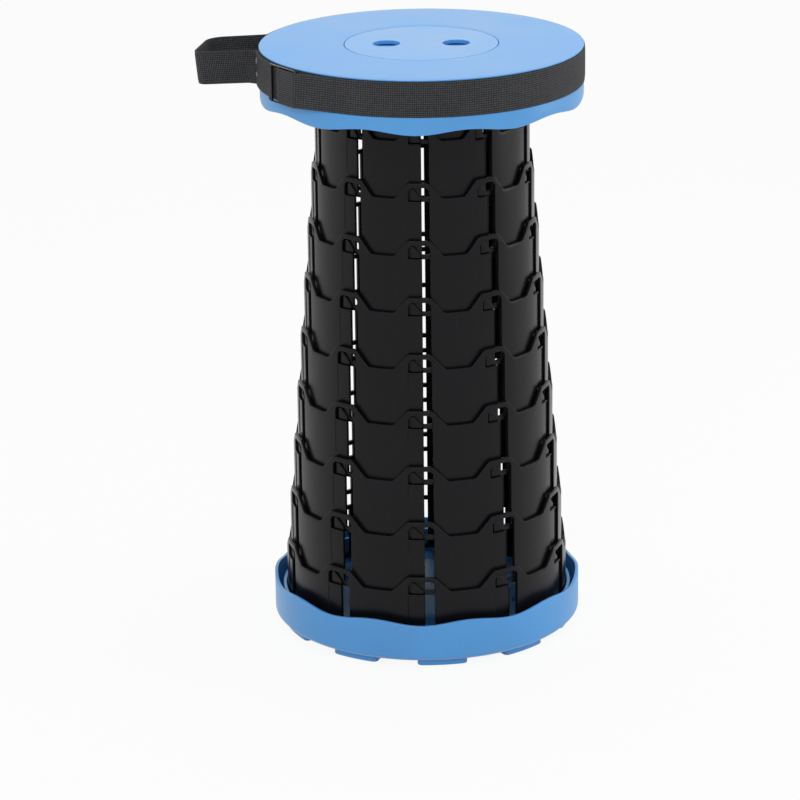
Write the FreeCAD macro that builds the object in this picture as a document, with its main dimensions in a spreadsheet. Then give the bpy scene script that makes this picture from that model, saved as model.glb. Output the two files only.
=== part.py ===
import FreeCAD, Part
import math
import os
import re
import Sketcher

# Collapsible telescopic stool, shown pulled out to its full height.
# Millimetres, +Z up, origin on the floor at the centre of the feet.
# The front faces -Y, and one column of slots stands a little to the left of it.
# The handle loop of the carrying strap points to the left, along -X.

os.makedirs("parts", exist_ok=True)
doc = FreeCAD.newDocument("TelescopicStool")
V = FreeCAD.Vector

# Driving dimensions: lengths in millimetres, angles in degrees
SIZES = {
    "total_height": 450,  # floor to seat top, pulled out
    "slot_count": 10,  # slots, teeth and feet round the stool
    "ring_count": 9,  # rings between the seat and the base

    "smallest_ring_radius": 79.9,  # outer radius of ring 1, the top one
    "ring_radius_step": 3.45,  # how much larger each ring is than the one above
    "ring_wall": 2.65,  # wall of every ring
    "hanger_height": 54.4,  # height of the ring fixed under the seat
    "arch_band": 3.5,  # plastic left above a window
    "ledge_depth": 13.8,  # ledge under a window, below the top of its tab
    "ledge_gap": 0.3,  # air between a tooth and the ledge
    "tooth_foot": 1.2,  # bottom of a tooth above the bottom of its ring
    "tooth_height": 8.8,  # height of a tooth
    "tooth_toe": 2.6,  # height of the low side of a tooth
    "tooth_reach": 1.7,  # how far a tooth stands out of its ring
    "tooth_play": 0.7,  # angle left free on each side of a tooth
    "pattern_turn": 2.3,  # turn of slots and waves to the left of the front
    "lane_edge": 5.1,  # angle from the slot centre to the left side of the window
    "slot_edge": 5.6,  # angle from the slot centre to the right side of the window
    "strip_edge": 1.9,  # angle from the slot centre to the strip left of the slot
    "slot_floor_band": 3.4,  # closed band under a slot
    "channel_depth": 1.55,  # depth of the inner channel a tooth rides in
    "tab_half_angle": 5.4,  # half the flat top of a tab
    "slope_foot_angle": 11.8,  # angle where the slope of a tab ends
    "valley_depth": 11.6,  # tab top down to the low edge between tabs

    "foot_height": 5.5,  # height of the feet
    "foot_width": 11.0,  # radial width of a foot
    "foot_radius": 105.5,  # radius of the middle of the feet
    "foot_angle": 20.0,  # angle one foot covers
    "foot_turn": 8.3,  # turn of the feet from the slots
    "plate": 3.0,  # thickness of seat and base plates
    "rim_wall": 2.6,  # wall of the seat skirt and the base rim
    "rim_room": 3.75,  # air between the collar of the base and its rim
    "base_corner": 3.0,  # sloping lower corner of the base
    "rim_low": 33.8,  # rim height above the floor at the slots
    "wave_rise": 3.4,  # rise of the wavy edges between the slots
    "stack_rest": 11.5,  # height the stack of rings rests at
    "stack_gap": 0.4,  # air under the moving rings when all is folded
    "rib_width": 2.4,  # width of a rib
    "rib_start": 66.0,  # inner end of the ribs under the stack
    "collar_height": 27.0,  # top of the collar that holds the last ring
    "notch_width": 3.4,  # width of a key notch in the base
    "notch_length": 3.8,  # radial length of a key notch
    "notch_ring": 111.2,  # radius the key notches lie on
    "recess_width": 11.0,  # shallow ring pressed in round the base plug
    "recess_slope": 3.0,  # sloping edge of that ring
    "recess_depth": 1.0,  # depth of that shallow ring

    "seat_height": 40.5,  # seat top down to the low points of the skirt
    "seat_radius": 119.9,  # outer radius of the skirt
    "belt_width": 25.6,  # width of the webbing
    "belt_thickness": 1.6,  # thickness of the webbing
    "belt_lip": 1.2,  # seat top down to the upper edge of the webbing
    "belt_clear": 0.3,  # air between the webbing and what it lies on
    "groove_depth": 1.0,  # depth of the groove the webbing lies in
    "gusset_depth": 12.0,  # depth of the ribs under the seat
    "gusset_length": 8.0,  # length of the ribs under the seat

    "plug_radius": 56.8,  # radius of the centre plugs
    "plug_gap": 0.4,  # seam round a plug
    "plug_seat": 3.2,  # width of the ledge a plug rests on
    "well_depth": 7.0,  # depth of the well under a plug
    "finger_radius": 10.0,  # radius of a finger hole
    "finger_spacing": 51.5,  # distance between the two finger holes

    "buckle_length": 34.0,  # slider along the webbing
    "buckle_height": 27.6,  # slider across the webbing
    "buckle_wall": 1.8,  # thickness of the slider
    "buckle_bar": 4.2,  # width of the three bars of the slider
    "buckle_window": 25.9,  # length of the slots in the slider
    "buckle_turn": 54.0,  # angle from the front to the slider
    "tail_length": 30.0,  # webbing past the slider
    "loop_start": 47.0,  # angle where the handle webbing begins under the slider
    "loop_fold": 83.0,  # angle where it folds away from the rim
    "loop_back": 111.0,  # angle where it meets the rim again
    "loop_end": 128.0,  # angle where it ends
    "loop_reach": 167.2,  # left end of the loop from the centre
    "loop_lead": 3.0,  # straight webbing before the fold
    "loop_hook": 4.0,  # straight webbing before the loop meets the rim
    "loop_spread": 5.0,  # how far the front strand leans outwards
    "loop_back_spread": 8.0,  # how far the back strand leans inwards
    "loop_back_step": 9.0,  # back corner of the loop short of its front one
    "fold_radius": 2.4,  # bend where the webbing folds
    "loop_front_radius": 5.0,  # front bend at the left end of the loop
    "loop_back_radius": 17.0,  # back bend at the left end of the loop
    "hook_radius": 6.0,  # bend where the loop meets the rim
}
sheet = doc.addObject("Spreadsheet::Sheet", "Sizes")
for row, (alias, value) in enumerate(SIZES.items(), start=1):
    sheet.set("A%d" % row, alias)
    sheet.set("B%d" % row, str(value))
    sheet.setAlias("B%d" % row, alias)
doc.recompute()


def number(alias):
    return float(sheet.get(alias))


def bound(text):
    def name(match):
        word = match.group(0)
        return "Sizes." + word if word in SIZES else word
    return re.sub(r"[a-z][a-z_]*", name, text)


# Lengths that several pieces share, written with the names above
STACK_FLOOR = "(stack_rest + stack_gap)"
STAGE_TRAVEL = "((total_height - plate - hanger_height - %s) / ring_count)" % STACK_FLOOR
RING_HEIGHT = "(%s + tooth_foot + ledge_depth - ledge_gap)" % STAGE_TRAVEL
GROOVE_FLOOR = "(seat_radius - groove_depth)"
BELT_INSIDE = "(seat_radius - groove_depth + belt_clear)"
BELT_OUTSIDE = "(seat_radius - groove_depth + belt_clear + belt_thickness)"
PLUG_HOLE = "(plug_radius + plug_gap)"
WELL_RADIUS = "(plug_radius + plug_gap - plug_seat)"
CUP_RADIUS = "(plug_radius + plug_gap + rim_wall)"


def ring_radius(place):
    # Place 1 is ring 1; place 0 is the ring fixed under the seat.
    return "(smallest_ring_radius + (%d - 1) * ring_radius_step)" % place


def outside_collar():
    return "(smallest_ring_radius + (ring_count - 1) * ring_radius_step)"


# Sketch helpers: every corner is tied to the origin by two bound dimensions
def new_body(label):
    body = doc.addObject("PartDesign::Body", label)
    body.Label = label
    return body


def sketch_on(body, role, name):
    plane = [f for f in body.Origin.OriginFeatures if f.Role == role][0]
    sketch = body.newObject("Sketcher::SketchObject", name)
    sketch.AttachmentSupport = [(plane, "")]
    sketch.MapMode = "FlatFace"
    return sketch


def tie(sketch, element, point, x, y):
    first = sketch.addConstraint(Sketcher.Constraint("DistanceX", -1, 1, element, point, 1.0))
    sketch.setExpression("Constraints[%d]" % first, bound(x))
    second = sketch.addConstraint(Sketcher.Constraint("DistanceY", -1, 1, element, point, 1.0))
    sketch.setExpression("Constraints[%d]" % second, bound(y))


def outline(sketch, corners):
    count = len(corners)
    first = sketch.GeometryCount
    spread = [V(math.cos(-math.tau * i / count), math.sin(-math.tau * i / count), 0)
              for i in range(count)]
    for i in range(count):
        sketch.addGeometry(Part.LineSegment(spread[i], spread[(i + 1) % count]), False)
    for i in range(count):
        nxt = first + (i + 1) % count
        sketch.addConstraint(Sketcher.Constraint("Coincident", first + i, 2, nxt, 1))
    for i, (x, y) in enumerate(corners):
        tie(sketch, first + i, 1, x, y)


def circle(sketch, x, y, radius):
    index = sketch.addGeometry(Part.Circle(V(1, 1, 0), V(0, 0, 1), 1), False)
    tie(sketch, index, 3, x, y)
    c = sketch.addConstraint(Sketcher.Constraint("Radius", index, 1))
    sketch.setExpression("Constraints[%d]" % c, bound(radius))


def revolve(body, corners, name, kind="PartDesign::Revolution", angle="360", role="YZ_Plane"):
    sketch = sketch_on(body, role, name + "_section")
    outline(sketch, corners)
    feature = body.newObject(kind, name)
    feature.Profile = sketch
    feature.ReferenceAxis = (sketch, ["V_Axis"])
    feature.setExpression("Angle", bound(angle))
    return feature


def radial_cut(body, corners, name, length, role="XZ_Plane", start=None):
    # Cuts from the axis outwards, through the wall on one side only.
    sketch = sketch_on(body, role, name + "_shape")
    outline(sketch, corners)
    if start:
        sketch.setExpression("AttachmentOffset.Base.z", bound(start))
    pocket = body.newObject("PartDesign::Pocket", name)
    pocket.Profile = sketch
    pocket.Type = 0
    pocket.Reversed = True
    pocket.setExpression("Length", bound(length))
    return pocket


def pad_up(body, name, length, start=None):
    sketch = sketch_on(body, "XY_Plane", name + "_shape")
    if start:
        sketch.setExpression("AttachmentOffset.Base.z", bound(start))
    pad = body.newObject("PartDesign::Pad", name)
    pad.Profile = sketch
    pad.setExpression("Length", bound(length))
    return pad, sketch


def around(body, features, name, count="slot_count"):
    pattern = body.newObject("PartDesign::PolarPattern", name)
    pattern.Originals = features
    axis = [f for f in body.Origin.OriginFeatures if f.Role == "Z_Axis"][0]
    pattern.Axis = (axis, [""])
    pattern.Angle = 360
    pattern.setExpression("Occurrences", bound(count))
    body.Tip = pattern
    return pattern


def tooth(body, radius, floor):
    # A wedge low on the outer face, steep on the left and sloping on the right.
    sketch = sketch_on(body, "XZ_Plane", "tooth_shape")
    left = "(0 - %s * sin(lane_edge - tooth_play))" % radius
    right = "(%s * sin(strip_edge - tooth_play))" % radius
    low = "(%s + tooth_foot)" % floor
    outline(sketch, [
        (left, low),
        (left, low + " + tooth_height"),
        (right, low + " + tooth_toe"),
        (right, low),
    ])
    sketch.setExpression("AttachmentOffset.Base.z", bound(radius + " - ring_wall / 2"))
    pad = body.newObject("PartDesign::Pad", "tooth")
    pad.Profile = sketch
    pad.setExpression("Length", bound("tooth_reach + ring_wall / 2"))
    return pad


def wave_corners(radius, level, waste, crest_first):
    # One period of the wavy edge, from side to side, closed on the waste side.
    steps = 3
    corners = []
    for i in range(-steps, steps + 1):
        turn = "180 * %d / %d" % (i, steps)
        across = "%s * sin(%s / slot_count)" % (radius, turn)
        lift = "(1 + cos(%s)) / 2" % turn if crest_first else "(1 - cos(%s)) / 2" % turn
        corners.append((across, "%s + wave_rise * %s" % (level, lift)))
    corners.append((corners[-1][0], waste))
    corners.append((corners[0][0], waste))
    return corners


def raise_body(body, height, turn=None):
    body.Placement = FreeCAD.Placement(V(0, 0, 1), FreeCAD.Rotation(V(0, 0, 1), 1))
    body.setExpression("Placement.Base.z", bound(height))
    body.setExpression("Placement.Rotation.Angle", bound(turn or "0"))


# The nine rings: windows, slots and teeth that run in the next larger ring
def add_channel(body, radius, top):
    # The lane for the next tooth: an inner groove left of the slot, open to it.
    channel = revolve(body, [
        ("ring_wall + ring_wall - " + radius, "0 - ring_wall"),
        ("ring_wall - channel_depth - " + radius, "0 - ring_wall"),
        ("ring_wall - channel_depth - " + radius, top),
        ("ring_wall + ring_wall - " + radius, top),
    ], "tooth_channel", kind="PartDesign::Groove", angle="lane_edge + strip_edge + tooth_play")
    sketch = channel.Profile[0]
    sketch.AttachmentOffset = FreeCAD.Placement(V(0, 0, 0), FreeCAD.Rotation(V(0, 1, 0), 1))
    sketch.setExpression("AttachmentOffset.Rotation.Angle", bound("0 - lane_edge"))
    return channel


def make_ring(place):
    body = new_body("ring_%d" % place)
    radius = ring_radius(place)
    inside = radius + " - ring_wall"
    last = place == int(number("ring_count"))
    bottom = "0 - stack_gap" if last else "0"
    top = RING_HEIGHT
    ledge = top + " - ledge_depth"
    revolve(body, [
        (inside, bottom),
        (radius, bottom),
        (radius, top),
        (inside, top),
    ], "wall")

    right = radius + " * sin(slot_edge)"
    left = "0 - " + radius + " * sin(lane_edge)"
    strip = radius + " * sin(strip_edge)"
    roof = top + " - arch_band"
    opening = radial_cut(body, [
        (left, roof),
        (right, roof),
        (right, "slot_floor_band"),
        (strip, "slot_floor_band"),
        (strip, ledge),
        (left, ledge),
    ], "window_and_slot", radius + " + ring_wall")

    flat = radius + " * sin(180 / slot_count - tab_half_angle)"
    foot = radius + " * sin(180 / slot_count - slope_foot_angle)"
    valley = radial_cut(body, [
        ("0 - " + foot, top + " - valley_depth"),
        (foot, top + " - valley_depth"),
        (flat, top),
        (flat, top + " + ring_wall"),
        ("0 - " + flat, top + " + ring_wall"),
        ("0 - " + flat, top),
    ], "valley", radius + " + ring_wall", role="YZ_Plane")

    channel = add_channel(body, radius, ledge)
    wedge = tooth(body, radius, "0")
    around(body, [opening, valley, channel, wedge], "ten_times")
    height = "%s + (ring_count - %d) * %s" % (STACK_FLOOR, place, STAGE_TRAVEL)
    raise_body(body, height, "0 - pattern_turn")
    return body


bodies = []
for place in range(1, int(number("ring_count")) + 1):
    bodies.append(make_ring(place))


# Seat: plate, wavy skirt with the groove for the webbing, well under the plug
seat = new_body("seat_cover")
COLLAR = ring_radius(0)
GROOVE_LOW = "(0 - belt_lip - belt_width - belt_clear)"
revolve(seat, [
    (PLUG_HOLE, "0"),
    ("seat_radius", "0"),
    ("seat_radius", "belt_clear - belt_lip"),
    (GROOVE_FLOOR, "belt_clear - belt_lip"),
    (GROOVE_FLOOR, GROOVE_LOW),
    ("seat_radius", GROOVE_LOW),
    ("seat_radius", "0 - seat_height"),
    (GROOVE_FLOOR + " - rim_wall", "0 - seat_height"),
    (GROOVE_FLOOR + " - rim_wall", "0 - plate"),
    (CUP_RADIUS, "0 - plate"),
    (CUP_RADIUS, "0 - plate - well_depth - plate"),
    ("0", "0 - plate - well_depth - plate"),
    ("0", "0 - plate - well_depth"),
    (WELL_RADIUS, "0 - plate - well_depth"),
    (WELL_RADIUS, "0 - plate"),
    (PLUG_HOLE, "0 - plate"),
], "shell")
scallop = radial_cut(
    seat,
    wave_corners("seat_radius", "0 - seat_height", "0 - seat_height - wave_rise", True),
    "wavy_edge", "seat_radius - " + COLLAR, role="YZ_Plane", start=COLLAR + " + rim_wall")
around(seat, [scallop], "ten_waves")
gusset, gusset_shape = pad_up(seat, "gusset", "gusset_depth", start="0 - plate / 2 - gusset_depth")
outline(gusset_shape, [
    (GROOVE_FLOOR + " - rim_wall - gusset_length", "0 - rib_width / 2"),
    (GROOVE_FLOOR + " - rim_wall / 2", "0 - rib_width / 2"),
    (GROOVE_FLOOR + " - rim_wall / 2", "rib_width / 2"),
    (GROOVE_FLOOR + " - rim_wall - gusset_length", "rib_width / 2"),
])
around(seat, [gusset], "ten_gussets")
raise_body(seat, "total_height", "0 - pattern_turn")
bodies.append(seat)


# The smallest ring hangs under the seat plate and slides in ring 1
hanger = new_body("seat_ring")
revolve(hanger, [
    (COLLAR + " - ring_wall", "0"),
    (COLLAR, "0"),
    (COLLAR, "hanger_height"),
    (COLLAR + " - ring_wall", "hanger_height"),
], "wall")
hanger_slot = radial_cut(hanger, [
    (COLLAR + " * sin(strip_edge)", "slot_floor_band"),
    (COLLAR + " * sin(slot_edge)", "slot_floor_band"),
    (COLLAR + " * sin(slot_edge)", "hanger_height - ledge_depth"),
    (COLLAR + " * sin(strip_edge)", "hanger_height - ledge_depth"),
], "slot", COLLAR + " + ring_wall")
hanger_tooth = tooth(hanger, COLLAR, "0")
around(hanger, [hanger_slot, hanger_tooth], "ten_times")
raise_body(hanger, "total_height - plate - hanger_height", "0 - pattern_turn")
bodies.append(hanger)


# Base: floor plate with feet, wavy rim, collar for the last ring, well for its plug
base = new_body("base_tray")
BASE_FLOOR = "(foot_height + plate)"
PLUG_SEAT = "(foot_height + recess_depth + plate)"
OUTER_RING = outside_collar()
COLLAR_INSIDE = "(%s + ring_radius_step - ring_wall)" % OUTER_RING
BASE_RIM = "(%s + ring_wall + rim_room + rim_wall)" % COLLAR_INSIDE
revolve(base, [
    ("0", PLUG_SEAT + " + well_depth + plate"),
    (CUP_RADIUS, PLUG_SEAT + " + well_depth + plate"),
    (CUP_RADIUS, BASE_FLOOR),
    (COLLAR_INSIDE, BASE_FLOOR),
    (COLLAR_INSIDE, "collar_height"),
    (COLLAR_INSIDE + " + ring_wall", "collar_height"),
    (COLLAR_INSIDE + " + ring_wall", BASE_FLOOR),
    (BASE_RIM + " - rim_wall", BASE_FLOOR),
    (BASE_RIM + " - rim_wall", "rim_low + wave_rise"),
    (BASE_RIM, "rim_low + wave_rise"),
    (BASE_RIM, "foot_height + base_corner"),
    (BASE_RIM + " - base_corner", "foot_height"),
    (PLUG_HOLE + " + recess_width + recess_slope", "foot_height"),
    (PLUG_HOLE + " + recess_width", "foot_height + recess_depth"),
    (PLUG_HOLE, "foot_height + recess_depth"),
    (PLUG_HOLE, PLUG_SEAT),
    (WELL_RADIUS, PLUG_SEAT),
    (WELL_RADIUS, PLUG_SEAT + " + well_depth"),
    ("0", PLUG_SEAT + " + well_depth"),
], "shell")
dip = radial_cut(
    base,
    wave_corners(BASE_RIM, "rim_low", "rim_low + 2 * wave_rise", False),
    "wavy_edge", BASE_RIM + " + rim_wall")
TOOTH_LOW = "(%s + tooth_foot)" % STACK_FLOOR
gate = radial_cut(base, [
    ("0 - %s * sin(lane_edge)" % OUTER_RING, TOOTH_LOW + " - ledge_gap"),
    ("0 - %s * sin(lane_edge)" % OUTER_RING, TOOTH_LOW + " + tooth_height + ledge_gap"),
    ("%s * sin(strip_edge)" % OUTER_RING, TOOTH_LOW + " + tooth_height + ledge_gap"),
    ("%s * sin(strip_edge)" % OUTER_RING, TOOTH_LOW + " - ledge_gap"),
], "tooth_gate", COLLAR_INSIDE + " + ring_wall + ledge_gap")
rib, rib_shape = pad_up(base, "stack_rib", "stack_rest - foot_height - plate / 2", start="foot_height + plate / 2")
outline(rib_shape, [
    ("rib_start", "0 - rib_width / 2"),
    (COLLAR_INSIDE + " + ring_wall / 2", "0 - rib_width / 2"),
    (COLLAR_INSIDE + " + ring_wall / 2", "rib_width / 2"),
    ("rib_start", "rib_width / 2"),
])
around(base, [dip, gate, rib], "ten_waves")

foot = revolve(base, [
    ("0 - foot_radius - foot_width / 2", "0"),
    ("0 - foot_radius + foot_width / 2", "0"),
    ("0 - foot_radius + foot_width / 2", "foot_height + plate / 2"),
    ("0 - foot_radius - foot_width / 2", "foot_height + plate / 2"),
], "foot", angle="foot_angle")
foot.Midplane = True
foot_sketch = foot.Profile[0]
foot_sketch.AttachmentOffset = FreeCAD.Placement(V(0, 0, 0), FreeCAD.Rotation(V(0, 1, 0), 1))
foot_sketch.setExpression("AttachmentOffset.Rotation.Angle", bound("foot_turn"))
around(base, [foot], "ten_feet")

# Key notches between the feet
notch = base.newObject("PartDesign::Pocket", "key_notch")
notch_sketch = sketch_on(base, "XY_Plane", "key_notch_shape")
outline(notch_sketch, [
    ("0 - notch_width / 2", "0 - notch_ring - notch_length / 2"),
    ("notch_width / 2", "0 - notch_ring - notch_length / 2"),
    ("notch_width / 2", "0 - notch_ring + notch_length / 2"),
    ("0 - notch_width / 2", "0 - notch_ring + notch_length / 2"),
])
notch_sketch.AttachmentOffset = FreeCAD.Placement(V(0, 0, 0), FreeCAD.Rotation(V(0, 0, 1), 1))
notch_sketch.setExpression("AttachmentOffset.Rotation.Angle", bound("foot_turn + 180 / slot_count"))
notch.Profile = notch_sketch
notch.Type = 0
notch.Reversed = True
notch.setExpression("Length", bound(BASE_FLOOR))
around(base, [notch], "ten_notches")
raise_body(base, "0", "0 - pattern_turn")
bodies.append(base)


# Centre plugs, each a flush disc with two finger holes
def make_plug(label, height):
    body = new_body(label)
    disc, shape = pad_up(body, "disc", "plate")
    circle(shape, "0", "0", "plug_radius")
    circle(shape, "finger_spacing / 2", "0", "finger_radius")
    circle(shape, "0 - finger_spacing / 2", "0", "finger_radius")
    raise_body(body, height)
    bodies.append(body)
    return body


make_plug("seat_centre_plug", "total_height - plate")
make_plug("base_centre_plug", "foot_height + recess_depth")


# Webbing that runs in the groove all the way round the seat
belt = new_body("strap_belt")
revolve(belt, [
    (BELT_INSIDE, "0 - belt_width"),
    (BELT_OUTSIDE, "0 - belt_width"),
    (BELT_OUTSIDE, "0"),
    (BELT_INSIDE, "0"),
], "band")
raise_body(belt, "total_height - belt_lip")
bodies.append(belt)


# Slider on the webbing: a flat frame with three bars, left of the front
LAYER = "(%s + belt_clear + belt_thickness + belt_clear)" % BELT_OUTSIDE
slider = new_body("slider_buckle")
frame_sketch = sketch_on(slider, "XZ_Plane", "frame_shape")
half_long = "buckle_length / 2"
outline(frame_sketch, [
    ("0 - " + half_long, "0 - buckle_height / 2"),
    (half_long, "0 - buckle_height / 2"),
    (half_long, "buckle_height / 2"),
    ("0 - " + half_long, "buckle_height / 2"),
])
for side in ("left", "right"):
    inner = "buckle_bar / 2"
    outer = "(buckle_length / 2 - buckle_bar)"
    near = "0 - " + outer if side == "left" else inner
    far = "0 - " + inner if side == "left" else outer
    outline(frame_sketch, [
        (near, "0 - buckle_window / 2"),
        (far, "0 - buckle_window / 2"),
        (far, "buckle_window / 2"),
        (near, "buckle_window / 2"),
    ])
frame_sketch.setExpression("AttachmentOffset.Base.z", bound(LAYER))
frame = slider.newObject("PartDesign::Pad", "frame")
frame.Profile = frame_sketch
frame.setExpression("Length", bound("buckle_wall"))
BELT_MIDDLE = "total_height - belt_lip - belt_width / 2"
raise_body(slider, BELT_MIDDLE, "0 - buckle_turn")
bodies.append(slider)


# Free end of the webbing, over the middle and right bars and back to the rim
tail = new_body("strap_tail")
tail_pad, tail_shape = pad_up(tail, "webbing", "belt_width")
OVER = "(0 - %s - buckle_wall - belt_clear)" % LAYER
FIRST = "(0 - buckle_bar / 2 - belt_clear)"
PAST = "(buckle_length / 2 + belt_clear)"
TAIL_END = "(buckle_length / 2 + belt_clear + tail_length)"


def on_belt(across):
    return "(0 - sqrt((%s + belt_clear) ^ 2 - %s ^ 2))" % (BELT_OUTSIDE, across)


outline(tail_shape, [
    (FIRST, "0 - " + LAYER),
    (FIRST, OVER),
    (PAST, OVER),
    (TAIL_END, on_belt(TAIL_END)),
    (TAIL_END, on_belt(TAIL_END) + " - belt_thickness / 2"),
    (PAST, OVER + " - belt_thickness"),
    (FIRST + " - belt_thickness", OVER + " - belt_thickness"),
    (FIRST + " - belt_thickness", "0 - " + LAYER),
])
raise_body(tail, "total_height - belt_lip - belt_width", "0 - buckle_turn")
bodies.append(tail)


# Handle: webbing that starts under the slider, follows the rim, folds out into
# the loop on the left and comes back to the rim behind it
path_radius = (number("seat_radius") - number("groove_depth") + 2 * number("belt_clear")
               + 1.5 * number("belt_thickness"))


def on_path(angle):
    a = math.radians(-angle)
    return V(path_radius * math.sin(a), -path_radius * math.cos(a), 0)


def along_path(angle):
    a = math.radians(-angle)
    return V(-math.cos(a), -math.sin(a), 0)


def meeting(first_angle, second_angle):
    # Where the tangents to the rim at two angles cross.
    half = math.radians(second_angle - first_angle) / 2
    return on_path(first_angle) + along_path(first_angle) * (path_radius * math.tan(half))


reach = number("loop_reach")
fold = on_path(number("loop_fold")) + along_path(number("loop_fold")) * number("loop_lead")
hook = on_path(number("loop_back")) - along_path(number("loop_back")) * number("loop_hook")
front_corner = V(-reach, fold.y - number("loop_spread"), 0)
back_corner = V(-reach + number("loop_back_step"), hook.y - number("loop_back_spread"), 0)
start = on_path(number("loop_start"))
end = on_path(number("loop_end"))
corners = [
    (meeting(number("loop_start"), number("loop_fold")), path_radius),
    (fold, number("fold_radius")),
    (front_corner, number("loop_front_radius")),
    (back_corner, number("loop_back_radius")),
    (hook, number("hook_radius")),
    (meeting(number("loop_back"), number("loop_end")), path_radius),
]


def rounded_path(first, bends, final):
    points = [first] + [b[0] for b in bends] + [final]
    edges = []
    at = first
    for i, (corner, radius) in enumerate(bends):
        into = (corner - points[i]).normalize()
        away = (points[i + 2] - corner).normalize()
        turn = into.getAngle(away)
        back = radius * math.tan(turn / 2)
        begin = corner - into * back
        finish = corner + away * back
        bisector = (away - into).normalize()
        centre = corner + bisector * (radius / math.cos(turn / 2))
        middle = centre - bisector * radius
        if (begin - at).Length > 0.001:
            edges.append(Part.LineSegment(at, begin).toShape())
        edges.append(Part.Arc(begin, middle, finish).toShape())
        at = finish
    if (final - at).Length > 0.001:
        edges.append(Part.LineSegment(at, final).toShape())
    return Part.Wire(edges)


handle_path = rounded_path(start, corners, end)
side = along_path(number("loop_start")).cross(V(0, 0, 1))
thick = number("belt_thickness") / 2
wide = number("belt_width")
section = Part.makePolygon([
    start + side * thick,
    start - side * thick,
    start - side * thick + V(0, 0, wide),
    start + side * thick + V(0, 0, wide),
    start + side * thick,
])
handle = doc.addObject("Part::Feature", "strap_handle")
handle.Label = "strap_handle"
handle.Shape = handle_path.makePipeShell([section], True, False)
handle.Placement = FreeCAD.Placement(
    V(0, 0, number("total_height") - number("belt_lip") - wide), FreeCAD.Rotation())
bodies.append(handle)


# Rebuild, check every object and write one file for each piece
doc.recompute()
for thing in doc.Objects:
    if "Invalid" in thing.State or "Error" in thing.State:
        raise RuntimeError("failed: " + thing.Label)
for body in bodies:
    shape = body.Shape
    if shape.isNull() or not shape.isValid() or len(shape.Solids) != 1:
        raise RuntimeError("bad shape: " + body.Label)
    shape.exportStep("parts/" + body.Label + ".step")
    print(body.Label, round(shape.Volume), shape.BoundBox)
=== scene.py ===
# %% [markdown]
# # Folding stool of nested rings
# The real object is a camping stool. Nine slotted plastic rings pull out of each other
# between a blue seat and a blue base, and a webbing strap round the seat carries it.
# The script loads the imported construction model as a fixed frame, builds each visible
# piece in full detail inside that frame, and lets every piece ride on its moving body.
# Everything is in metres: Z points up, the front faces -Y and the floor is at height 0.

# %% Load the frame
import bpy
import bmesh
import math
from mathutils import Matrix, Vector


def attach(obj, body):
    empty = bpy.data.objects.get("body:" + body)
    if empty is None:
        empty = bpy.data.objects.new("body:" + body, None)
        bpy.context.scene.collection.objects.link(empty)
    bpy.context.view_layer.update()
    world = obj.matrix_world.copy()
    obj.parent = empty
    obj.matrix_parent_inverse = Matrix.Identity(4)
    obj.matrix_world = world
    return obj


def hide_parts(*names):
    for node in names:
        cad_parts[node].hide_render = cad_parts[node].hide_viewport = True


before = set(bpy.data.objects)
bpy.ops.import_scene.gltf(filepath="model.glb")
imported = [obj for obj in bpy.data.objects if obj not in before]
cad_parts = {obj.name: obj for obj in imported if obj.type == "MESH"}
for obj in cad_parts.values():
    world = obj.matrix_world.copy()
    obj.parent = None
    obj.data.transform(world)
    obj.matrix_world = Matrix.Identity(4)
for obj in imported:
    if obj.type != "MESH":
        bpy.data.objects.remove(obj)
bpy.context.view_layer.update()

# %% [markdown]
# ## Sizes
# The pieces repeat the sizes of the construction model, so that a ring built here fills
# the same space as the ring there. Lengths are written in millimetres and turned into
# metres. The pattern of slots and waves stands 2.3 degrees to the left of the front.

# %% Shared sizes
MM = 0.001
SLOTS = 10
CELL = math.tau / SLOTS
RING_HEIGHT = 57.0 * MM
STAGE = 42.3 * MM
STACK_FLOOR = 11.9 * MM
WALL = 2.65 * MM
SEAT_TOP = 450.0 * MM
SEAT_RADIUS = 119.9 * MM
BASE_RADIUS = 117.3 * MM
PLUG_RADIUS = 56.8 * MM
PATTERN = math.radians(2.3)
SKIRT_LOW = SEAT_TOP - 40.5 * MM
RIM_LOW = 33.8 * MM
WAVE_RISE = 3.4 * MM
PLATE = 3.0 * MM
SMALLEST_RING, RING_STEP = 79.9, 3.45
RINGS = 9


def ring_radius(place):
    return (SMALLEST_RING + (place - 1) * RING_STEP) * MM


def ring_bottom(place):
    return STACK_FLOOR + (RINGS - place) * STAGE


print("ring radii", [round(ring_radius(k) / MM, 2) for k in range(1, RINGS + 1)])

# %% [markdown]
# ## Camera
# The camera stands where a fit of the object's edges in the photograph puts it: two and
# a half metres in front and one metre up, looking down at a shallow angle through a long
# lens. A long lens keeps the two ends of the stool almost equal in scale, as seen there.

# %% Camera
TILT = math.radians(18.504)
SWING = math.radians(-0.4287)
ROLL = math.radians(0.7205)
CAMERA_PLACE = (0, -2.538, 1.022)
forward = Vector((math.sin(SWING) * math.cos(TILT), math.cos(SWING) * math.cos(TILT), -math.sin(TILT)))
level_right = Vector((math.cos(SWING), -math.sin(SWING), 0))
level_up = level_right.cross(forward)
right = level_right * math.cos(ROLL) - level_up * math.sin(ROLL)
up = level_right * math.sin(ROLL) + level_up * math.cos(ROLL)


def new_object(name, data):
    made = bpy.data.objects.new(name, data)
    bpy.context.scene.collection.objects.link(made)
    return made


camera_data = bpy.data.cameras.new("photo_camera")
camera_data.lens = 158.0
camera_data.sensor_width = 36.0
camera = new_object("photo_camera", camera_data)
turn = Matrix((right, up, -forward)).transposed()
camera.matrix_world = Matrix.Translation(CAMERA_PLACE) @ turn.to_4x4()
bpy.context.scene.camera = camera
print("camera looks along", [round(v, 3) for v in forward])

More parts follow.
